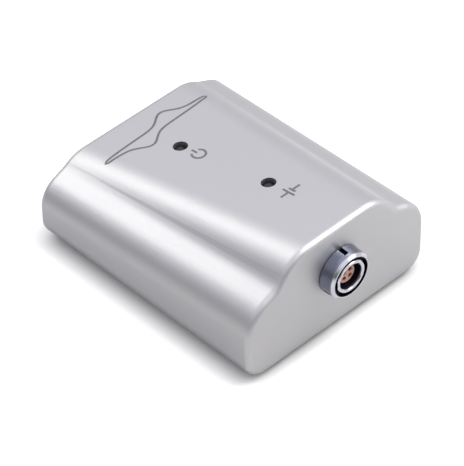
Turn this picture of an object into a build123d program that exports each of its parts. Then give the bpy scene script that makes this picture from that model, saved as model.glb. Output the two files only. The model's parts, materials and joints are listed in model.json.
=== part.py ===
from build123d import *
import math
import os

# Bench potentiostat: a wedge-shaped metal case that rises towards the front, a round
# four-pole push-pull socket for the sensor in its front wall, two indicator lamps in its
# sloping top and a small five-pole inlet for power and data in its rear wall.
# Millimetres, +Z up, front towards -Y. The functions place the case about X = Y = 0 with the
# bench at Z = 0, and the export moves every part so that the overall length is centred.

# Case. Its flanks are an S in section: flat top, slope, shelf, side wall. The slope is steep
# at the front end and melts into the shelf towards the rear end.
caseLength = 67.0
frontEnd = {
    "half": 27.0, "top": 29.25, "footX": 18.1, "footZ": 22.6, "slope": 53.0, "shelf": 24.0,
    "shelfRadius": 9.0, "footRadius": 6.0, "topRadius": 10.0,
}
rearEnd = {
    "half": 28.2, "top": 19.0, "footX": 20.8, "footZ": 16.8, "slope": 32.0, "shelf": 24.0,
    "shelfRadius": 7.0, "footRadius": 12.0, "topRadius": 10.0,
}
floorRadius = 5.0
wall = 2.0
rimRadius = 1.6
rimSteps = 3

# Base plate let into the underside, its screws and feet
footHeight = 0.8
plateWidth = 42.0
plateLength = 58.0
plateThickness = 2.0
plateCorner = 3.0
plateGap = 0.15
postSpot = (17.4, 25.2)
postRadius = 3.1
screwRadius = 1.25
screwHead = 2.4
screwLength = 8.0
feetSpot = (10.2, 24.2)
feetRadius = 3.4
feetRecess = 0.4

# Sensor socket in the front wall
socketHeight = 17.7
nutRadius = 6.0
nutFront = 5.75
nutLength = 3.9
nutSlots = 3
slotWidth = 1.2
slotDepth = 1.0
slotLength = 2.5
grooveRadius = 4.75
grooveDepth = 1.3
threadRadius = 4.45
threadFlats = 8.2
mouthRadius = 4.15
boreRadius = 3.3
boreDepth = 1.2
sleeveRadius = 3.15
sleeveDepth = 5.2
insulatorRadius = 2.4
insulatorSetback = 1.3
contactSpread = 1.27
contactRadius = 0.6
contactBore = 0.38
tailRadius = 0.4
pinDepth = 4.5
washerThickness = 0.5
washerRadius = 5.6
washerTeeth = 12
flangeRadius = 6.2
flangeThickness = 1.5
tubeRadius = 4.2
tubeLength = 6.0
lip = 0.15

# Lamps under the top
lamps = {"power_lamp": (-1.2, 15.2), "cell_lamp": (1.6, -10.2)}
lampRadius = 1.5
lampHole = 1.75
lampSetback = 0.7
lampLength = 5.2
collarHeight = 0.9
holderRadius = 2.1
holderWall = 0.45

# Main board on its spacers
boardWidth = 41.0
boardFront = -22.0
boardBack = 31.2
boardThickness = 1.6
spacerHeight = 4.5
spacerSpot = (15.0, 15.0)
spacerRadius = 2.4
panHeadRadius = 2.3
panHeadHeight = 1.5

# Inlet for power and data in the rear wall
inletWidth = 7.7
inletHeight = 3.9
inletDepth = 9.2
inletWall = 0.4
inletBack = 0.6
inletGap = 0.3

# Places worked out from the above
frontY = -caseLength / 2
backY = caseLength / 2
floorTop = footHeight + plateThickness
boardBottom = floorTop + spacerHeight
boardTop = boardBottom + boardThickness
innerFront = frontY + wall
socketFront = frontY - nutLength


def blend(key, y):
    """One measure of the case's section, between its two ends."""
    share = (y - frontY) / caseLength
    return frontEnd[key] + (rearEnd[key] - frontEnd[key]) * share


def top_height(y):
    return footHeight + blend("top", y)


def case_section(y, inset=0.0):
    """Cross-section of the case at one station, as a face square to Y, drawn in by an inset."""
    half, top, footX, footZ = (blend(key, y) for key in ("half", "top", "footX", "footZ"))
    topX = footX - (top - footZ) / math.tan(math.radians(blend("slope", y)))
    shelfZ = footZ - (half - footX) * math.tan(math.radians(blend("shelf", y)))
    corners = [(half, 0), (half, shelfZ), (footX, footZ), (topX, top)]
    radii = [floorRadius] + [blend(key, y) for key in ("shelfRadius", "footRadius", "topRadius")]
    right = [(x, z + footHeight) for x, z in corners]
    left = [(-x, z) for x, z in reversed(right)]
    outline = FilletPolyline(*(right + left), radius=radii + radii[::-1], close=True)
    face = Plane.XZ.offset(-y) * make_face(outline.edges())
    return offset(face, -inset) if inset > 0 else face


def case_rim(start, side):
    """Rounded rim at one end: sections that draw in along a quarter circle."""
    turns = [math.radians(90 * i / rimSteps) for i in range(rimSteps + 1)]
    return loft([case_section(start + side * rimRadius * math.sin(a), rimRadius * (1 - math.cos(a)))
                 for a in turns])


def case_inside(inset):
    """The case's form drawn in by an even thickness on every side."""
    return loft([case_section(y, inset) for y in (frontY + inset, backY - inset)], ruled=True)


def upright(radius, bottom, top, x=0.0, y=0.0):
    """Round bar standing on one height and ending at another."""
    bar = Cylinder(radius, top - bottom, align=(Align.CENTER, Align.CENTER, Align.MIN))
    return Pos(x, y, bottom) * bar


def block(width, depth, height, x, y, bottom):
    """Box standing on one height, centred over a point."""
    box = Box(width, depth, height, align=(Align.CENTER, Align.CENTER, Align.MIN))
    return Pos(x, y, bottom) * box


def turned(points, x=0.0, z=socketHeight):
    """Solid turned about an axis along Y, from corners given as radius and station."""
    return Pos(x, 0, z) * revolve(make_face(Polyline(*points, close=True)), Axis.Y)


def turned_upright(points, x=0.0, y=0.0):
    """Solid turned about a vertical axis, from corners given as radius and height."""
    profile = Plane.XZ * make_face(Polyline(*points, close=True))
    return Pos(x, y, 0) * revolve(profile, Axis.Z)


def four(spot):
    """The four mirrored places of one spot in plan."""
    return [(i * spot[0], j * spot[1]) for i in (-1, 1) for j in (-1, 1)]


def group(solids):
    return Compound(list(solids))


def rounded_bar(width, height, depth, radius, z, start):
    """Bar along Y with rounded corners, from one station towards +Y."""
    face = Plane.XZ * RectangleRounded(width, height, radius)
    return Pos(0, start, z) * extrude(face, -depth)


parts = {}


# Cover: one casting with four posts for the base plate's screws
def make_cover():
    rimStarts = (frontY + rimRadius, backY - rimRadius)
    body = loft([case_section(y) for y in rimStarts], ruled=True)
    body += case_rim(rimStarts[0], -1) + case_rim(rimStarts[1], 1)
    ceiling = 2 * frontEnd["top"]
    posts = Part() + [upright(postRadius, floorTop, ceiling, x, y) for x, y in four(postSpot)]
    body = body - case_inside(wall) + (posts & case_inside(wall / 2))
    opening = RectangleRounded(plateWidth + 2 * plateGap, plateLength + 2 * plateGap,
                               plateCorner + plateGap)
    body -= extrude(opening, floorTop)
    for x, y in four(postSpot):
        body -= upright(screwRadius, 0, floorTop + screwLength - plateThickness + 1, x, y)
    for x, y in lamps.values():
        body -= upright(lampHole, boardTop, ceiling, x, y)
    bore = turned([(0, frontY - 1), (threadRadius, frontY - 1),
                   (threadRadius, innerFront + 1), (0, innerFront + 1)])
    body -= bore & block(threadFlats, 3 * wall, 4 * threadRadius, 0, frontY + wall / 2,
                         socketHeight - 2 * threadRadius)
    inletZ = boardTop + inletHeight / 2
    body -= rounded_bar(inletWidth + 2 * inletGap, inletHeight + 2 * inletGap, 4 * wall, 0.8,
                        inletZ, backY - 2 * wall)
    return body


parts["top_cover"] = make_cover()


# Base plate, with countersinks at its corners, holes for the spacers and recesses for the feet
def make_base_plate():
    outline = RectangleRounded(plateWidth, plateLength, plateCorner)
    plate = Pos(0, 0, footHeight) * extrude(outline, plateThickness)
    for x, y in four(postSpot):
        sink = [(0, 0), (screwHead, 0), (screwHead, footHeight),
                (screwRadius, footHeight + screwHead - screwRadius),
                (screwRadius, floorTop + 1), (0, floorTop + 1)]
        plate -= turned_upright(sink, x, y)
    for x, y in four(spacerSpot):
        plate -= upright(screwRadius + 0.45, 0, floorTop + 1, x, y)
    for x, y in four(feetSpot):
        plate -= upright(feetRadius + 0.1, 0, footHeight + feetRecess, x, y)
    return plate


def make_base_screw(x, y):
    head = footHeight + screwHead - screwRadius
    tip = footHeight + screwLength
    outline = [(0, footHeight), (screwHead, footHeight), (screwRadius, head),
               (screwRadius, tip - 0.4), (screwRadius - 0.4, tip), (0, tip)]
    screw = turned_upright(outline, x, y)
    return screw - extrude(Pos(x, y, footHeight) * RegularPolygon(0.85, 6), 1.0)


def make_foot(x, y):
    top = footHeight + feetRecess
    return turned_upright([(0, 0), (feetRadius - 0.7, 0), (feetRadius - 0.15, 0.35),
                           (feetRadius, top), (0, top)], x, y)


parts["base_plate"] = make_base_plate()
parts["base_screws"] = group(make_base_screw(x, y) for x, y in four(postSpot))
parts["rubber_feet"] = group(make_foot(x, y) for x, y in four(feetSpot))


# Sensor socket, from the panel outwards and inwards
def make_socket_nut():
    back = frontY
    front = socketFront
    ring = turned([(threadRadius, back), (nutRadius - 0.25, back), (nutRadius, back - 0.25),
                   (nutFront + 0.05, front + 0.45), (nutFront - 0.4, front), (grooveRadius + 0.1, front),
                   (grooveRadius, front + grooveDepth), (threadRadius, front + grooveDepth)])
    for i in range(nutSlots):
        cut = block(slotWidth, slotLength, slotDepth + 1, 0, back - slotLength / 2 + 0.01,
                    nutRadius - slotDepth)
        ring -= Pos(0, 0, socketHeight) * Rot(0, 360 / nutSlots * i, 0) * cut
    return ring


def make_socket_shell():
    flangeStart = innerFront + washerThickness
    flangeEnd = flangeStart + flangeThickness
    tubeEnd = flangeEnd + tubeLength
    shell = turned([(boreRadius + lip, socketFront), (mouthRadius - lip, socketFront),
                    (mouthRadius, socketFront + lip), (mouthRadius, socketFront + 1.5),
                    (threadRadius, socketFront + 1.8), (threadRadius, flangeStart),
                    (flangeRadius, flangeStart), (flangeRadius, flangeEnd), (tubeRadius, flangeEnd),
                    (tubeRadius, tubeEnd), (insulatorRadius, tubeEnd),
                    (insulatorRadius, socketFront + sleeveDepth), (sleeveRadius, socketFront + sleeveDepth),
                    (sleeveRadius, socketFront + boreDepth), (boreRadius, socketFront + boreDepth),
                    (boreRadius, socketFront + lip)])
    flats = block(threadFlats - 0.1, flangeStart - socketFront, 4 * threadRadius, 0,
                  (flangeStart + socketFront) / 2, socketHeight - 2 * threadRadius)
    rear = block(4 * flangeRadius, 20, 4 * flangeRadius, 0, flangeStart + 10, socketHeight - 2 * flangeRadius)
    return shell & (flats + rear)


def make_washer():
    back = innerFront + washerThickness
    ring = turned([(threadRadius + 0.1, innerFront), (washerRadius, innerFront),
                   (washerRadius, back), (threadRadius + 0.1, back)])
    for i in range(washerTeeth):
        notch = block(0.9, 2, 1.2, 0, innerFront, washerRadius - 0.6)
        ring -= Pos(0, 0, socketHeight) * Rot(0, 360 / washerTeeth * i, 0) * notch
    return ring


contactPlaces = [(contactSpread * math.cos(math.radians(a)), contactSpread * math.sin(math.radians(a)))
                 for a in (45, 135, 225, 315)]
insulatorFront = socketFront + insulatorSetback
insulatorBack = innerFront + washerThickness + 8.2
tailEnd = insulatorBack + 2.5


def make_insulator():
    body = turned([(0, insulatorFront), (insulatorRadius - 0.2, insulatorFront),
                   (insulatorRadius, insulatorFront + 0.2), (insulatorRadius, insulatorBack),
                   (0, insulatorBack)])
    for x, z in contactPlaces:
        body -= turned([(0, insulatorFront - 1), (contactRadius, insulatorFront - 1),
                        (contactRadius, insulatorBack + 1), (0, insulatorBack + 1)], x, socketHeight + z)
    return body


def make_contact(x, z):
    """Contact tube with a closed tail for the wire."""
    start = insulatorFront + 0.3
    shoulder = insulatorBack + 0.4
    return turned([(contactBore, start), (contactRadius, start), (contactRadius, shoulder),
                   (tailRadius, shoulder), (tailRadius, tailEnd), (0, tailEnd),
                   (0, start + pinDepth), (contactBore, start + pinDepth)], x, socketHeight + z)


parts["socket_nut"] = make_socket_nut()
parts["socket_shell"] = make_socket_shell()
parts["socket_washer"] = make_washer()
parts["socket_insulator"] = make_insulator()
parts["socket_contacts"] = group(make_contact(x, z) for x, z in contactPlaces)

# Main board on four spacers, narrowed at the rear to pass between the posts
def make_board():
    neck = 2 * (postSpot[0] - postRadius) - 1.0
    shoulder = postSpot[1] - postRadius - 0.6
    plate = block(boardWidth, shoulder - boardFront, boardThickness,
                  0, (shoulder + boardFront) / 2, boardBottom)
    plate += block(neck, boardBack - boardFront, boardThickness,
                   0, (boardBack + boardFront) / 2, boardBottom)
    plate = fillet(plate.edges().filter_by(Axis.Z), 0.8)
    for x, y in four(spacerSpot):
        plate -= upright(screwRadius, 0, boardTop + 1, x, y)
    return plate


def make_spacer(x, y):
    body = Pos(x, y, floorTop) * extrude(RegularPolygon(spacerRadius, 6), spacerHeight)
    body += upright(screwRadius + 0.45, footHeight, floorTop, x, y)
    return body - upright(screwRadius, footHeight + 1.2, boardBottom + 1, x, y)


def make_board_screw(x, y):
    top = boardTop + panHeadHeight
    tip = boardTop - 4.5
    outline = [(0, tip), (screwRadius, tip), (screwRadius, boardTop), (panHeadRadius, boardTop),
               (panHeadRadius, top - 0.5), (panHeadRadius - 0.6, top), (0, top)]
    screw = turned_upright(outline, x, y)
    for width, depth in ((0.5, 2.6), (2.6, 0.5)):
        screw -= block(width, depth, 1.0, x, y, top - 0.8)
    return screw


# Lamps on tubes that lift them up to the holes in the top
def lamp_base(y):
    return top_height(y) - lampSetback - lampLength


def make_lamp(x, y):
    base = lamp_base(y)
    dome = base + lampLength - lampRadius
    collar = upright(lampRadius + 0.4, base, base + collarHeight, x, y)
    return collar + upright(lampRadius, base, dome, x, y) + Pos(x, y, dome) * Sphere(lampRadius)


def make_lamp_holder(x, y):
    top = lamp_base(y)
    tube = upright(holderRadius, boardTop, top, x, y)
    return tube - upright(holderRadius - holderWall, boardTop - 1, top + 1, x, y)


def make_lamp_leads(x, y):
    length = lamp_base(y) - boardTop
    return [block(0.5, 0.5, length, x + side, y, boardTop) for side in (-1.0, 1.0)]


# Chips with gull-wing legs: body size, row of legs along each of two or four sides
def make_chip(x, y, width, depth, height):
    body = block(width, depth, height, x, y, boardTop + 0.1)
    body = chamfer(body.faces().sort_by(Axis.Z)[-1].edges(), 0.2)
    dotX = x - width / 2 + 0.9
    dotY = y + depth / 2 - 0.9
    return body - upright(0.35, boardTop + height, boardTop + 2 * height, dotX, dotY)


def make_legs(x, y, width, depth, count, pitch, bothWays):
    """Legs out of the chip's sides, down and out again to the board."""
    legs = []
    for turn in ((0, 90, 180, 270) if bothWays else (90, 270)):
        reach = (depth if turn in (0, 180) else width) / 2
        bend = reach + legRun
        for i in range(count):
            place = (i - (count - 1) / 2) * pitch
            shoulder = block(pitch * 0.45, legRun, legThickness, place, reach + legRun / 2, legRise)
            drop = block(pitch * 0.45, legThickness, legRise + legThickness, place, bend + legThickness / 2, 0)
            foot = block(pitch * 0.45, legRun, legThickness, place, bend + legThickness + legRun / 2, 0)
            legs.append(Pos(x, y, boardTop) * Rot(0, 0, turn) * (shoulder + drop + foot))
    return legs


chipHeight = 1.4
legThickness = 0.18
legRun = 0.5
legRise = 0.7
processor = {"x": 0.0, "y": 3.0, "width": 10.0, "depth": 10.0}
amplifierSpots = [(-11.0, -8.5), (-11.0, -1.5), (11.0, -8.5)]
converterSpots = [(11.0, -1.2), (11.0, 6.5), (-11.0, 6.5)]
amplifier = {"width": 4.0, "depth": 5.0}
converter = {"width": 5.3, "depth": 6.2}


def small_parts(spots, width, depth, height, cap):
    """Small soldered blocks with a raised metal cap at each end."""
    bodies = []
    for x, y in spots:
        middle = block(width, depth - 2 * cap, height, x, y, boardTop)
        ends = [block(width + 0.06, cap, height + 0.04, x, y + side * (depth - cap) / 2, boardTop)
                for side in (-1, 1)]
        bodies.append(middle + ends)
    return bodies


smallPitch = 1.8
capacitorSpots = [(-4.5 + smallPitch * i, 10.6) for i in range(5)]
capacitorSpots += [(-18.5, -8.0 + 4.0 * i) for i in range(4)]
resistorSpots = [(-4.5 + smallPitch * i, -4.6) for i in range(6)]
resistorSpots += [(18.3, -8.0 + 3.0 * i) for i in range(6)]
tantalumSpots = [(-8.5, 12.5), (-9.0, 19.0), (9.0, 19.0)]


def make_range_resistor(x, y):
    """Cylinder on its side with a slightly larger metal cap at each end."""
    length = 3.6
    radius = 0.7
    waist = radius - 0.08
    start = y - length / 2
    end = y + length / 2
    outline = [(0, start), (radius, start), (radius, start + 0.6), (waist, start + 0.6),
               (waist, end - 0.6), (radius, end - 0.6), (radius, end), (0, end)]
    return turned(outline, x, boardTop + radius)


def make_crystal(x, y):
    can = block(3.2, 5.0, 0.9, x, y, boardTop)
    lid = block(2.7, 4.5, 0.3, x, y, boardTop + 0.9)
    return fillet(can.edges().filter_by(Axis.Z), 0.3) + fillet(lid.edges().filter_by(Axis.Z), 0.3)


def make_choke(x, y):
    """Drum core: two flanges with the winding between them."""
    rim = 2.6
    core = 1.9
    outline = [(0, 0), (rim, 0), (rim, 0.8), (core, 0.8), (core, 2.2), (rim, 2.2), (rim, 2.9), (0, 2.9)]
    return Pos(0, 0, boardTop) * turned_upright(outline, x, y)


# Plug and leads from the sensor socket to the board
leadRadius = 0.55
plugY = -16.4
plugSize = (9.6, 4.4, 6.0)
plugTop = boardTop + plugSize[2]
outerLead = 3.0


def make_lead_plug():
    body = block(*plugSize, 0, plugY, boardTop)
    body = chamfer(body.faces().sort_by(Axis.Z)[-1].edges(), 0.3)
    for side in (-1, 1):
        body -= block(1.2, 1.0, 3.0, side * 3.0, plugY - plugSize[1] / 2, boardTop + 1.5)
    return body


def make_lead(x, z):
    """Wire from one contact to the plug: the two upper ones spread out to its ends."""
    level = socketHeight + z
    points = [(x, tailEnd, level), (x, plugY, level), (x, plugY, plugTop)]
    if z > 0:
        landing = math.copysign(outerLead, x)
        points = [(x, tailEnd, level), (x, tailEnd + 1.1, level), (landing, plugY, level),
                  (landing, plugY, plugTop)]
    path = FilletPolyline(*points, radius=1.3)
    return sweep(Plane(origin=path @ 0, z_dir=path % 0) * Circle(leadRadius), path=path)


# Inlet in the rear wall: folded shell, tongue and contacts
inletFace = backY - 0.3
tongueLength = 6.4
inletContactLength = 5.6


def make_inlet_shell():
    half = inletWidth / 2
    step = half - 0.7
    outline = [(-half, inletHeight), (half, inletHeight), (half, 1.7), (step, 1.0),
               (step, 0), (-step, 0), (-step, 1.0), (-half, 1.7)]
    face = make_face(Polyline(*outline, close=True))
    mouth = offset(face, -inletWall)
    shell = extrude(face, inletDepth) - extrude(mouth, inletDepth - inletBack)
    return Pos(0, inletFace, boardTop) * (Plane.XZ * shell)


def make_inlet_tongue():
    back = inletFace - inletDepth + inletBack
    tongue = block(4.9, tongueLength, 0.8, 0, back + tongueLength / 2, boardTop + 2.0)
    return fillet(tongue.edges().filter_by(Axis.Z), 0.3)


def make_inlet_contacts():
    back = inletFace - inletDepth + inletBack
    middle = back + inletContactLength / 2
    return [block(0.4, inletContactLength, 0.15, 0.8 * i, middle, boardTop + 1.85) for i in range(-2, 3)]


def chips(spots, body):
    return [make_chip(x, y, body["width"], body["depth"], chipHeight) for x, y in spots]


def chip_legs(spots, body, count, pitch):
    legs = []
    for x, y in spots:
        legs += make_legs(x, y, body["width"], body["depth"], count, pitch, False)
    return legs


parts["main_board"] = make_board()
parts["board_spacers"] = group(make_spacer(x, y) for x, y in four(spacerSpot))
parts["board_screws"] = group(make_board_screw(x, y) for x, y in four(spacerSpot))
for lampName, (lampX, lampY) in lamps.items():
    parts[lampName] = make_lamp(lampX, lampY)
parts["lamp_holders"] = group(make_lamp_holder(x, y) for x, y in lamps.values())
parts["lamp_leads"] = group(lead for x, y in lamps.values() for lead in make_lamp_leads(x, y))
parts["processor"] = make_chip(*processor.values(), chipHeight)
parts["processor_legs"] = group(make_legs(*processor.values(), 11, 0.8, True))
parts["amplifiers"] = group(chips(amplifierSpots, amplifier))
parts["amplifier_legs"] = group(chip_legs(amplifierSpots, amplifier, 4, 1.27))
parts["converters"] = group(chips(converterSpots, converter))
parts["converter_legs"] = group(chip_legs(converterSpots, converter, 8, 0.65))
parts["chip_capacitors"] = group(small_parts(capacitorSpots, 0.8, 1.6, 0.8, 0.35))
parts["chip_resistors"] = group(small_parts(resistorSpots, 0.8, 1.6, 0.5, 0.3))
parts["tantalum_capacitors"] = group(small_parts(tantalumSpots, 2.8, 3.5, 1.9, 0.5))
parts["range_resistors"] = group(make_range_resistor(x, -16.5) for x in (-11.0, -8.5, 8.5, 11.0))
parts["crystal"] = make_crystal(5.6, 13.4)
parts["choke"] = make_choke(8.6, 25.5)
parts["lead_plug"] = make_lead_plug()
parts["sensor_leads"] = group(make_lead(x, z) for x, z in contactPlaces)
parts["inlet_shell"] = make_inlet_shell()
parts["inlet_tongue"] = make_inlet_tongue()
parts["inlet_contacts"] = group(make_inlet_contacts())

# The socket stands out in front, so the middle of the overall length lies before the case's own
centring = Pos(0, -(backY + socketFront) / 2, 0)
os.makedirs("parts", exist_ok=True)
for name, shape in parts.items():
    export_step(centring * shape, f"parts/{name}.step")
    print(name, round(shape.volume, 1))
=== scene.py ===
import bpy
import bmesh
import json
import math
from mathutils import Matrix, Vector
from mathutils.bvhtree import BVHTree


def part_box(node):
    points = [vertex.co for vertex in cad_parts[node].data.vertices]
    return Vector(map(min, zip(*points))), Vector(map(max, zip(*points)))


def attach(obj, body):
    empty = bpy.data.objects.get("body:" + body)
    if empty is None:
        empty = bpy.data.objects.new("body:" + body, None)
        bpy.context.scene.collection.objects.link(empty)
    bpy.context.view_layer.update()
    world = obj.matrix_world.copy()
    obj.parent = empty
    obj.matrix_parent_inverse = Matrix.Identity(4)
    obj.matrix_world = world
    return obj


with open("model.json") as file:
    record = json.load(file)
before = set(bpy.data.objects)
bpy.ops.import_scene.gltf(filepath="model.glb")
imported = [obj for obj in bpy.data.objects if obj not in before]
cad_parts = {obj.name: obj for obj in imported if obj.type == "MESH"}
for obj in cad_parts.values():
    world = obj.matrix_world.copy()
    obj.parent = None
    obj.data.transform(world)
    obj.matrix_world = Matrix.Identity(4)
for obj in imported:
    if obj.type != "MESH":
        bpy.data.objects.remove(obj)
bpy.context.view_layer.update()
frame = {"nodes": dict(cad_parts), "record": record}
nodes = frame["nodes"]
mm = 0.001
print("frame loaded:", len(nodes), "nodes")


# shared node groups

def newGroup(name, inputs, outputs):
    group = bpy.data.node_groups.new(name, "ShaderNodeTree")
    for label, kind, value in inputs:
        socket = group.interface.new_socket(label, in_out="INPUT", socket_type=kind)
        if value is not None:
            socket.default_value = value
    for label, kind in outputs:
        group.interface.new_socket(label, in_out="OUTPUT", socket_type=kind)
    start = group.nodes.new("NodeGroupInput")
    end = group.nodes.new("NodeGroupOutput")
    return group, start, end


def mathNode(tree, operation, a, b=None, clamp=False):
    node = tree.nodes.new("ShaderNodeMath")
    node.operation = operation
    node.use_clamp = clamp
    for i, value in enumerate((a, b)):
        if value is None:
            continue
        if isinstance(value, (int, float)):
            node.inputs[i].default_value = value
        else:
            tree.links.new(value, node.inputs[i])
    return node.outputs[0]


def noiseNode(tree, vector, scale, detail, roughness=0.5):
    noise = tree.nodes.new("ShaderNodeTexNoise")
    noise.inputs["Detail"].default_value = detail
    noise.inputs["Roughness"].default_value = roughness
    if isinstance(scale, (int, float)):
        noise.inputs["Scale"].default_value = scale
    else:
        tree.links.new(scale, noise.inputs["Scale"])
    tree.links.new(vector, noise.inputs["Vector"])
    return noise.outputs["Fac"]


def mixColor(tree, factor, a, b):
    mix = tree.nodes.new("ShaderNodeMix")
    mix.data_type = "RGBA"
    sockets = [mix.inputs[0], mix.inputs[6], mix.inputs[7]]
    for socket, value in zip(sockets, (factor, a, b)):
        if isinstance(value, (int, float)):
            socket.default_value = value
        elif isinstance(value, (tuple, list)):
            socket.default_value = (*value[:3], 1.0)
        else:
            tree.links.new(value, socket)
    return mix.outputs[2]


grainSettings = {"fineShare": 0.6, "cloudShare": 0.4, "contrast": 4.0, "bumpStrength": 0.3}


# fine grain of a blasted, moulded or plated surface: a shade, a roughness and a height
def makeGrainGroup():
    group, start, end = newGroup(
        "surfaceGrain",
        [("Color", "NodeSocketColor", (0.8, 0.8, 0.8, 1)), ("Shade", "NodeSocketFloat", 0.04),
         ("Roughness", "NodeSocketFloat", 0.4), ("Spread", "NodeSocketFloat", 0.05),
         ("Grain Size", "NodeSocketFloat", 6000.0), ("Cloud Size", "NodeSocketFloat", 90.0)],
        [("Color", "NodeSocketColor"), ("Roughness", "NodeSocketFloat"), ("Height", "NodeSocketFloat")])
    place = group.nodes.new("ShaderNodeTexCoord").outputs["Object"]
    fine = noiseNode(group, place, start.outputs["Grain Size"], detail=2.0, roughness=0.6)
    cloud = noiseNode(group, place, start.outputs["Cloud Size"], detail=4.0, roughness=0.55)
    both = mathNode(group, "ADD", mathNode(group, "MULTIPLY", fine, grainSettings["fineShare"]),
                    mathNode(group, "MULTIPLY", cloud, grainSettings["cloudShare"]))
    centred = mathNode(group, "SUBTRACT", both, 0.5)
    darker = mathNode(group, "MULTIPLY", mathNode(group, "SUBTRACT", 0.5, both), start.outputs["Shade"])
    stronger = mathNode(group, "MULTIPLY", darker, grainSettings["contrast"])
    factor = mathNode(group, "ADD", 0.5, stronger, clamp=True)
    low = mixColor(group, start.outputs["Shade"], start.outputs["Color"], (1.0, 1.0, 1.0))
    high = mixColor(group, start.outputs["Shade"], start.outputs["Color"], (0.0, 0.0, 0.0))
    group.links.new(mixColor(group, factor, low, high), end.inputs["Color"])
    spread = mathNode(group, "MULTIPLY", start.outputs["Spread"], 2.0)
    rough = mathNode(group, "ADD", start.outputs["Roughness"], mathNode(group, "MULTIPLY", centred, spread))
    group.links.new(rough, end.inputs["Roughness"])
    group.links.new(fine, end.inputs["Height"])
    return group


# marks that a lathe leaves: a roughness that changes in narrow stripes
def makeStripeGroup():
    group, start, end = newGroup(
        "toolMarks",
        [("Stretch", "NodeSocketVector", (1.0, 1.0, 1.0)), ("Roughness", "NodeSocketFloat", 0.25),
         ("Spread", "NodeSocketFloat", 0.1)],
        [("Roughness", "NodeSocketFloat")])
    place = group.nodes.new("ShaderNodeTexCoord").outputs["Object"]
    stretch = group.nodes.new("ShaderNodeVectorMath")
    stretch.operation = "MULTIPLY"
    group.links.new(place, stretch.inputs[0])
    group.links.new(start.outputs["Stretch"], stretch.inputs[1])
    stripes = noiseNode(group, stretch.outputs[0], scale=1.0, detail=3.0, roughness=0.6)
    uneven = mathNode(group, "MULTIPLY", mathNode(group, "SUBTRACT", stripes, 0.5), start.outputs["Spread"])
    group.links.new(mathNode(group, "ADD", start.outputs["Roughness"], uneven), end.inputs["Roughness"])
    return group


grainGroup = makeGrainGroup()
stripeGroup = makeStripeGroup()


def newMaterial(name):
    material = bpy.data.materials.new(name)
    material.use_nodes = True
    tree = material.node_tree
    shader = tree.nodes["Principled BSDF"]
    return material, tree, shader


def addBump(tree, shader, height, strength, distance):
    bump = tree.nodes.new("ShaderNodeBump")
    bump.inputs["Strength"].default_value = strength
    bump.inputs["Distance"].default_value = distance
    tree.links.new(height, bump.inputs["Height"])
    tree.links.new(bump.outputs["Normal"], shader.inputs["Normal"])


def grainMaterial(name, color, metallic, roughness, spread, shade, grainSize, cloudSize, bump, specular=0.5):
    material, tree, shader = newMaterial(name)
    grain = tree.nodes.new("ShaderNodeGroup")
    grain.node_tree = grainGroup
    values = {"Color": (*color, 1.0), "Shade": shade, "Roughness": roughness, "Spread": spread,
              "Grain Size": grainSize, "Cloud Size": cloudSize}
    for label, value in values.items():
        grain.inputs[label].default_value = value
    tree.links.new(grain.outputs["Color"], shader.inputs["Base Color"])
    tree.links.new(grain.outputs["Roughness"], shader.inputs["Roughness"])
    shader.inputs["Metallic"].default_value = metallic
    shader.inputs["Specular IOR Level"].default_value = specular
    addBump(tree, shader, grain.outputs["Height"], grainSettings["bumpStrength"], bump)
    return material


# near the socket's axis, how far a point lies behind a station: 0 before it, 1 past the reach
def makeDepthGroup():
    group, start, end = newGroup(
        "mouthDepth",
        [("Centre", "NodeSocketVector", (0.0, 0.0, 0.0)), ("Radius", "NodeSocketFloat", 0.003),
         ("Start", "NodeSocketFloat", 0.0), ("Reach", "NodeSocketFloat", 0.001)],
        [("Mask", "NodeSocketFloat")])
    place = group.nodes.new("ShaderNodeTexCoord").outputs["Object"]
    offset = group.nodes.new("ShaderNodeVectorMath")
    offset.operation = "SUBTRACT"
    group.links.new(place, offset.inputs[0])
    group.links.new(start.outputs["Centre"], offset.inputs[1])
    split = group.nodes.new("ShaderNodeSeparateXYZ")
    group.links.new(offset.outputs[0], split.inputs[0])
    across = mathNode(group, "MULTIPLY", split.outputs["X"], split.outputs["X"])
    upward = mathNode(group, "MULTIPLY", split.outputs["Z"], split.outputs["Z"])
    radius = mathNode(group, "SQRT", mathNode(group, "ADD", across, upward))
    inside = mathNode(group, "LESS_THAN", radius, start.outputs["Radius"])
    depth = mathNode(group, "DIVIDE", mathNode(group, "SUBTRACT", split.outputs["Y"], start.outputs["Start"]),
                     start.outputs["Reach"], clamp=True)
    group.links.new(mathNode(group, "MULTIPLY", inside, depth), end.inputs["Mask"])
    return group


depthGroup = makeDepthGroup()

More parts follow.
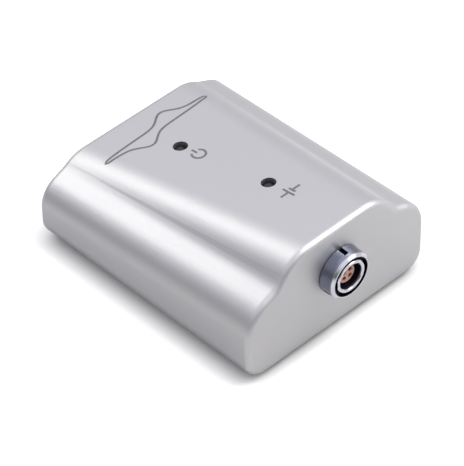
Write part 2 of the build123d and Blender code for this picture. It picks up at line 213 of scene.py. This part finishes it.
finishes = {
    "case": dict(color=(0.54, 0.535, 0.557), metallic=1.0, roughness=0.5, spread=0.04, shade=0.05,
                 grainSize=4500.0, cloudSize=60.0, bump=0.00004),
    "plate": dict(color=(0.6, 0.6, 0.62), metallic=1.0, roughness=0.38, spread=0.06, shade=0.05,
                  grainSize=5000.0, cloudSize=80.0, bump=0.00002),
    "steel": dict(color=(0.55, 0.55, 0.57), metallic=1.0, roughness=0.28, spread=0.1, shade=0.08,
                  grainSize=4000.0, cloudSize=300.0, bump=0.00001),
    "nickel": dict(color=(0.72, 0.73, 0.77), metallic=1.0, roughness=0.16, spread=0.06, shade=0.05,
                   grainSize=5000.0, cloudSize=300.0, bump=0.000005),
    "gold": dict(color=(0.4, 0.2, 0.1), metallic=1.0, roughness=0.2, spread=0.08, shade=0.05,
                 grainSize=5000.0, cloudSize=300.0, bump=0.000005),
    "insulator": dict(color=(0.52, 0.27, 0.22), metallic=0.0, roughness=0.45, spread=0.1, shade=0.06,
                      grainSize=5000.0, cloudSize=400.0, bump=0.00001),
    "rubber": dict(color=(0.02, 0.02, 0.021), metallic=0.0, roughness=0.75, spread=0.1, shade=0.1,
                   grainSize=4000.0, cloudSize=200.0, bump=0.00003),
    "board": dict(color=(0.01, 0.12, 0.045), metallic=0.0, roughness=0.3, spread=0.1, shade=0.08,
                  grainSize=3000.0, cloudSize=150.0, bump=0.00001),
    "black_plastic": dict(color=(0.018, 0.018, 0.02), metallic=0.0, roughness=0.5, spread=0.1, shade=0.1,
                          grainSize=5000.0, cloudSize=300.0, bump=0.00001),
    "lens": dict(color=(0.012, 0.012, 0.02), metallic=0.0, roughness=0.35, spread=0.04, shade=0.05,
                 grainSize=3000.0, cloudSize=300.0, bump=0.000003, specular=0.2),
    "ink": dict(color=(0.05, 0.047, 0.06), metallic=0.0, roughness=0.5, spread=0.1, shade=0.25,
                grainSize=9000.0, cloudSize=900.0, bump=0.000003, specular=0.3),
    "ceramic": dict(color=(0.5, 0.38, 0.24), metallic=0.0, roughness=0.5, spread=0.1, shade=0.06,
                    grainSize=5000.0, cloudSize=300.0, bump=0.00001),
    "cream_plastic": dict(color=(0.75, 0.7, 0.55), metallic=0.0, roughness=0.45, spread=0.1, shade=0.05,
                          grainSize=5000.0, cloudSize=300.0, bump=0.00001),
    "lead_sleeve": dict(color=(0.35, 0.03, 0.02), metallic=0.0, roughness=0.4, spread=0.08, shade=0.05,
                        grainSize=4000.0, cloudSize=300.0, bump=0.00001),
}
materials = {slot: grainMaterial(slot, **values) for slot, values in finishes.items()}


# the socket's own metal, bright in front, with painted light: a darker copy at the side as painted shade and
# reflection, and near-black painted shade in its mouth, groove and slots
# a zone is a radius, the station behind the nut's front where it starts, and its reach, in millimetres
socketSettings = {
    "shade": (0.62, 0.63, 0.70), "paintedSideShade": (0.27, 0.29, 0.36), "paintedHollowShade": (0.02, 0.018, 0.035),
    "darkRoughness": 0.6, "ringMarks": (3.0, 6000.0, 3.0), "markSpread": 0.3,
    # the side zone gets a darker copy of the metal: painted shade and reflection
    "side": (20.0, 0.45, 0.4),
    # in these hollows the metal is painted near-black: painted shade
    "shellZones": {"mouth": (3.34, 0.1, 0.5)},
    "nutZones": {"groove": (5.05, -0.6, 0.5), "slots": (5.8, 1.36, 0.05)},
}
socketLow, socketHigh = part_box("socket_nut")
socketCentre = ((socketLow[0] + socketHigh[0]) / 2, socketLow[1], (socketLow[2] + socketHigh[2]) / 2)


def socketMaterial(name, zones, settings):
    material = grainMaterial(name, **{**finishes["nickel"], "color": settings["shade"]})
    tree = material.node_tree
    shader = tree.nodes["Principled BSDF"]
    color = shader.inputs["Base Color"].links[0].from_socket
    masks = []
    for radius, begin, reach in [settings["side"]] + list(zones.values()):
        depth = tree.nodes.new("ShaderNodeGroup")
        depth.node_tree = depthGroup
        depth.inputs["Centre"].default_value = socketCentre
        depth.inputs["Radius"].default_value = radius * mm
        depth.inputs["Start"].default_value = begin * mm
        depth.inputs["Reach"].default_value = reach * mm
        masks.append(depth.outputs["Mask"])
    # painted shade and reflection: the side darker than the front
    color = mixColor(tree, masks[0], color, settings["paintedSideShade"])
    for mask in masks[1:]:
        # painted shade in the mouth, groove and slots
        color = mixColor(tree, mask, color, settings["paintedHollowShade"])
    tree.links.new(color, shader.inputs["Base Color"])
    turned = tree.nodes.new("ShaderNodeGroup")
    turned.node_tree = stripeGroup
    turned.inputs["Stretch"].default_value = settings["ringMarks"]
    turned.inputs["Roughness"].default_value = finishes["nickel"]["roughness"]
    turned.inputs["Spread"].default_value = settings["markSpread"]
    darkRough = mathNode(tree, "MULTIPLY", masks[-1], settings["darkRoughness"])
    rough = mathNode(tree, "MAXIMUM", turned.outputs["Roughness"], darkRough)
    tree.links.new(rough, shader.inputs["Roughness"])
    return material


ownMaterials = {
    "socket_nut": socketMaterial("nutMetal", socketSettings["nutZones"], socketSettings),
    "socket_shell": socketMaterial("shellMetal", socketSettings["shellZones"], socketSettings),
}

for part in frame["record"]["subparts"]:
    node = nodes[part["node"]]
    if not node.data.materials:
        node.data.materials.append(None)
    finish = ownMaterials.get(part["node"], materials[part["material_slot"]])
    for slot in range(len(node.data.materials)):
        node.data.materials[slot] = finish
print("finishes on", len(nodes), "nodes")


# printed marks on the top: a plain sign before each lamp and a curve at the rear, in millimetres
caseLow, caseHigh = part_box("top_cover")
caseMiddle = (caseLow[1] + caseHigh[1]) / 2 / mm
coverTree = BVHTree.FromObject(nodes["top_cover"], bpy.context.evaluated_depsgraph_get())
markSettings = {
    "rayStart": 100.0, "lift": 0.02, "line": 0.55, "steps": 48,
    "powerSign": {"beforeLamp": 5.4, "aside": 0.6, "radius": 1.6, "gap": 76.0, "bar": (0.6, 2.3)},
    "cellSign": {"beforeLamp": 6.0, "aside": 0.8, "plates": ((-0.55, 1.8), (0.55, 1.0)), "lead": 2.9},
    "curve": {"behindLamp": 9.2, "width": 32.0, "peak": 3.0, "spread": 3.4, "shift": 4.6, "gap": 0.8,
              "endRound": 0.3, "slope": 0.03},
}


def onTop(x, y):  # a point just above the cover's skin, from a place in plan
    start = Vector((x * mm, y * mm, markSettings["rayStart"] * mm))
    hit = coverTree.ray_cast(start, Vector((0, 0, -1)))[0]
    return hit + Vector((0, 0, markSettings["lift"] * mm))


def ribbon(mesh, points, width, closed=False):  # flat line of even width through plan points
    rows = []
    count = len(points)
    for i, (x, y) in enumerate(points):
        before = points[(i - 1) % count] if closed or i else points[i]
        after = points[(i + 1) % count] if closed or i < count - 1 else points[i]
        along = Vector((after[0] - before[0], after[1] - before[1])).normalized()
        side = Vector((-along.y, along.x)) * width / 2
        rows.append([mesh.verts.new(onTop(x + sign * side.x, y + sign * side.y)) for sign in (-1, 1)])
    for i in range(count if closed else count - 1):
        (a, b), (c, d) = rows[i], rows[(i + 1) % count]
        mesh.faces.new((a, c, d, b))


def finishMark(name, mesh):
    data = bpy.data.meshes.new(name)
    bmesh.ops.recalc_face_normals(mesh, faces=mesh.faces)
    mesh.to_mesh(data)
    mesh.free()
    if data.polygons[0].normal.z < 0:
        data.flip_normals()
    data.materials.append(materials["ink"])
    mark = bpy.data.objects.new(name, data)
    bpy.context.scene.collection.objects.link(mark)
    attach(mark, "root")


def lampPlace(node):
    low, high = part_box(node)
    return (low[0] + high[0]) / 2 / mm, (low[1] + high[1]) / 2 / mm


def makePowerSign(settings, line):
    lampX, lampY = lampPlace("power_lamp")
    centre = Vector((lampX + settings["aside"], lampY - settings["beforeLamp"]))
    mesh = bmesh.new()
    steps = markSettings["steps"]
    start = 90 + settings["gap"] / 2
    turn = 360 - settings["gap"]
    angles = [math.radians(start + turn * i / steps) for i in range(steps + 1)]
    ribbon(mesh, [(centre.x + settings["radius"] * math.cos(a), centre.y + settings["radius"] * math.sin(a))
                  for a in angles], line)
    ribbon(mesh, [(centre.x, centre.y + y) for y in settings["bar"]], line)
    finishMark("powerSign", mesh)


def makeCellSign(settings, line):
    lampX, lampY = lampPlace("cell_lamp")
    centre = Vector((lampX + settings["aside"], lampY - settings["beforeLamp"]))
    mesh = bmesh.new()
    for x, half in settings["plates"]:
        ribbon(mesh, [(centre.x + x, centre.y - half), (centre.x + x, centre.y + half)], line)
    for side, (x, half) in zip((-1, 1), settings["plates"]):
        start = centre.x + x + side * line / 2
        ribbon(mesh, [(start, centre.y), (centre.x + side * settings["lead"], centre.y)], line)
    finishMark("cellSign", mesh)


# the loop that such an instrument measures: current out and back again over voltage
def makeCurve(settings, line):
    middle = lampPlace("power_lamp")[1] + settings["behindLamp"]
    half = settings["width"] / 2
    points = []
    for side in (1, -1):
        for i in range(markSettings["steps"]):
            share = i / markSettings["steps"]
            x = side * half * (2 * share - 1)
            bell = math.exp(-((x - side * settings["shift"]) / settings["spread"]) ** 2)
            ends = math.cos(math.pi * x / settings["width"]) ** settings["endRound"] if abs(x) < half else 0.0
            y = side * (settings["peak"] * bell + settings["gap"] * ends) + settings["slope"] * x
            points.append((x, middle + y))
    mesh = bmesh.new()
    ribbon(mesh, points, line, closed=True)
    finishMark("curveSign", mesh)


makePowerSign(markSettings["powerSign"], markSettings["line"])
makeCellSign(markSettings["cellSign"], markSettings["line"])
makeCurve(markSettings["curve"], markSettings["line"])
print("marks printed on the top")


# camera at the photograph's viewing angle, with a long lens; places in millimetres, sizes in pixels
cameraSettings = {
    "azimuth": -42.89, "elevation": 43.79, "roll": -1.19,
    "target": (0.0, caseMiddle, 11.6), "aside": 0.006, "above": 4.56,
    "focalPixels": 3168.0, "pixelsPerMm": 4.477, "imageHeight": 466.0, "sensor": 36.0,
    "clip": (0.01, 20.0),
}


def makeCamera(settings):
    azimuth = math.radians(settings["azimuth"])
    elevation = math.radians(settings["elevation"])
    roll = math.radians(settings["roll"])
    back = Vector((math.sin(azimuth) * math.cos(elevation), -math.cos(azimuth) * math.cos(elevation),
                   math.sin(elevation)))
    level = Vector((math.cos(azimuth), math.sin(azimuth), 0.0))
    upright = back.cross(level)
    right = math.cos(roll) * level + math.sin(roll) * upright
    up = -math.sin(roll) * level + math.cos(roll) * upright
    distance = settings["focalPixels"] / settings["pixelsPerMm"]
    eye = Vector(settings["target"]) + distance * back - settings["aside"] * right - settings["above"] * up
    data = bpy.data.cameras.new("camera")
    data.sensor_width = settings["sensor"]
    data.lens = settings["focalPixels"] / settings["imageHeight"] * settings["sensor"]
    data.clip_start, data.clip_end = settings["clip"]
    camera = bpy.data.objects.new("camera", data)
    bpy.context.scene.collection.objects.link(camera)
    turn = Matrix((right, up, back)).transposed().to_4x4()
    camera.matrix_world = Matrix.Translation(eye * mm) @ turn
    bpy.context.scene.camera = camera


makeCamera(cameraSettings)
print("camera placed")


# floor, surroundings and lamps
floorSettings = {
    "size": 3.0, "color": (0.86, 0.855, 0.865), "roughness": 0.9, "glow": 0.52, "mirroredGlow": 0.05,
    "farColor": (0.12, 0.12, 0.13), "centre": (0.22, 0.05, 0.0), "near": 0.25, "far": 0.55,
    # colour and reach of the painted contact shadow under the case
    "paintedShadowColor": (0.1, 0.1, 0.11), "paintedShadowReach": 0.005,
}
worldSettings = {
    "white": 1.0, "fill": 0.56, "horizon": 0.18, "horizonRight": 0.75, "overhead": 1.1,
    "gradeStart": 0.12, "gradeEnd": 0.55, "tint": (0.95, 0.945, 1.0),
}
lampSettings = {
    "rearBox": {"toward": (-0.16, 0.69, 0.71), "distance": 0.9, "size": (0.44, 0.32), "power": 1.6},
    "rimBox": {"toward": (0.49, -0.3, 0.82), "distance": 0.9, "size": (0.34, 0.36), "power": 3.8},
    "frontBox": {"toward": (0.55, -0.6, 0.58), "distance": 0.8, "size": (0.4, 0.4), "power": 1.6},
}
lampColor = (1.0, 1.0, 0.91)


def rayMasks(tree):  # rays from the camera, and rays that metal and glass send on
    path = tree.nodes.new("ShaderNodeLightPath")
    sent = mathNode(tree, "MAXIMUM", path.outputs["Is Glossy Ray"], path.outputs["Is Transmission Ray"])
    return path.outputs["Is Camera Ray"], sent


def makeFloor(settings):
    half = settings["size"] / 2
    mesh = bpy.data.meshes.new("floor")
    corners = [(-half, -half, 0), (half, -half, 0), (half, half, 0), (-half, half, 0)]
    mesh.from_pydata(corners, [], [(0, 1, 2, 3)])
    floor = bpy.data.objects.new("floor", mesh)
    bpy.context.scene.collection.objects.link(floor)
    material, tree, shader = newMaterial("paleFloor")
    shader.inputs["Roughness"].default_value = settings["roughness"]
    shader.inputs["Specular IOR Level"].default_value = 0.0
    camera, sent = rayMasks(tree)
    distance = tree.nodes.new("ShaderNodeVectorMath")
    distance.operation = "LENGTH"
    offset = tree.nodes.new("ShaderNodeVectorMath")
    offset.operation = "SUBTRACT"
    offset.inputs[1].default_value = settings["centre"]
    tree.links.new(tree.nodes.new("ShaderNodeTexCoord").outputs["Object"], offset.inputs[0])
    tree.links.new(offset.outputs[0], distance.inputs[0])
    fade = tree.nodes.new("ShaderNodeMapRange")
    fade.interpolation_type = "SMOOTHSTEP"
    fade.inputs["From Min"].default_value = settings["near"]
    fade.inputs["From Max"].default_value = settings["far"]
    tree.links.new(distance.outputs["Value"], fade.inputs["Value"])
    dim = mathNode(tree, "MULTIPLY", fade.outputs[0], mathNode(tree, "SUBTRACT", 1.0, camera))
    # painted contact shadow: the floor's colour and glow darken where the case nearly touches
    contact = tree.nodes.new("ShaderNodeAmbientOcclusion")  # dark line where the case nearly touches
    contact.inputs["Distance"].default_value = settings["paintedShadowReach"]
    openness = contact.outputs["AO"]
    shade = mixColor(tree, dim, settings["color"], settings["farColor"])
    tree.links.new(mixColor(tree, openness, settings["paintedShadowColor"], shade), shader.inputs["Base Color"])
    glow = mathNode(tree, "ADD", mathNode(tree, "MULTIPLY", camera, settings["glow"]),
                    mathNode(tree, "MULTIPLY", sent, settings["mirroredGlow"]))
    # the glow is darkened by the painted contact shadow as well
    glow = mathNode(tree, "MULTIPLY", glow, openness)
    shader.inputs["Emission Color"].default_value = (1.0, 1.0, 1.0, 1.0)
    tree.links.new(glow, shader.inputs["Emission Strength"])
    mesh.materials.append(material)


# white for the camera; metal sees a studio that is dimmer near the horizon
def makeWorld(settings):
    world = bpy.data.worlds.new("studio")
    world.use_nodes = True
    tree = world.node_tree
    shade = tree.nodes["Background"]
    camera, sent = rayMasks(tree)
    direction = tree.nodes.new("ShaderNodeTexCoord").outputs["Generated"]
    height = tree.nodes.new("ShaderNodeSeparateXYZ")
    tree.links.new(direction, height.inputs[0])
    grade = tree.nodes.new("ShaderNodeMapRange")
    grade.interpolation_type = "SMOOTHSTEP"
    grade.inputs["From Min"].default_value = settings["gradeStart"]
    grade.inputs["From Max"].default_value = settings["gradeEnd"]
    rightward = mathNode(tree, "MULTIPLY", height.outputs["X"], settings["horizonRight"], clamp=True)
    tree.links.new(mathNode(tree, "ADD", rightward, settings["horizon"]), grade.inputs["To Min"])
    grade.inputs["To Max"].default_value = settings["overhead"]
    tree.links.new(height.outputs["Z"], grade.inputs["Value"])
    graded = mathNode(tree, "MULTIPLY", grade.outputs[0], sent)
    plain = mathNode(tree, "MULTIPLY", camera, settings["white"])
    diffuse = mathNode(tree, "SUBTRACT", 1.0, mathNode(tree, "MAXIMUM", camera, sent))
    fill = mathNode(tree, "MULTIPLY", diffuse, settings["fill"])
    strength = mathNode(tree, "ADD", mathNode(tree, "ADD", graded, plain), fill)
    tree.links.new(strength, shade.inputs["Strength"])
    tree.links.new(mixColor(tree, camera, settings["tint"], (1.0, 1.0, 1.0)), shade.inputs["Color"])
    bpy.context.scene.world = world


def makeLamp(name, toward, distance, size, power):
    data = bpy.data.lights.new(name, "AREA")
    data.shape = "RECTANGLE"
    data.size, data.size_y = size
    data.energy = power
    data.color = lampColor
    lamp = bpy.data.objects.new(name, data)
    direction = Vector(toward).normalized()
    lamp.location = direction * distance
    lamp.rotation_mode = "QUATERNION"
    lamp.rotation_quaternion = direction.to_track_quat("Z", "Y")
    bpy.context.scene.collection.objects.link(lamp)


makeFloor(floorSettings)
makeWorld(worldSettings)
for name, values in lampSettings.items():
    makeLamp(name, **values)
bpy.context.scene.view_settings.view_transform = "Standard"
print("floor, world and", len(lampSettings), "lamps made")
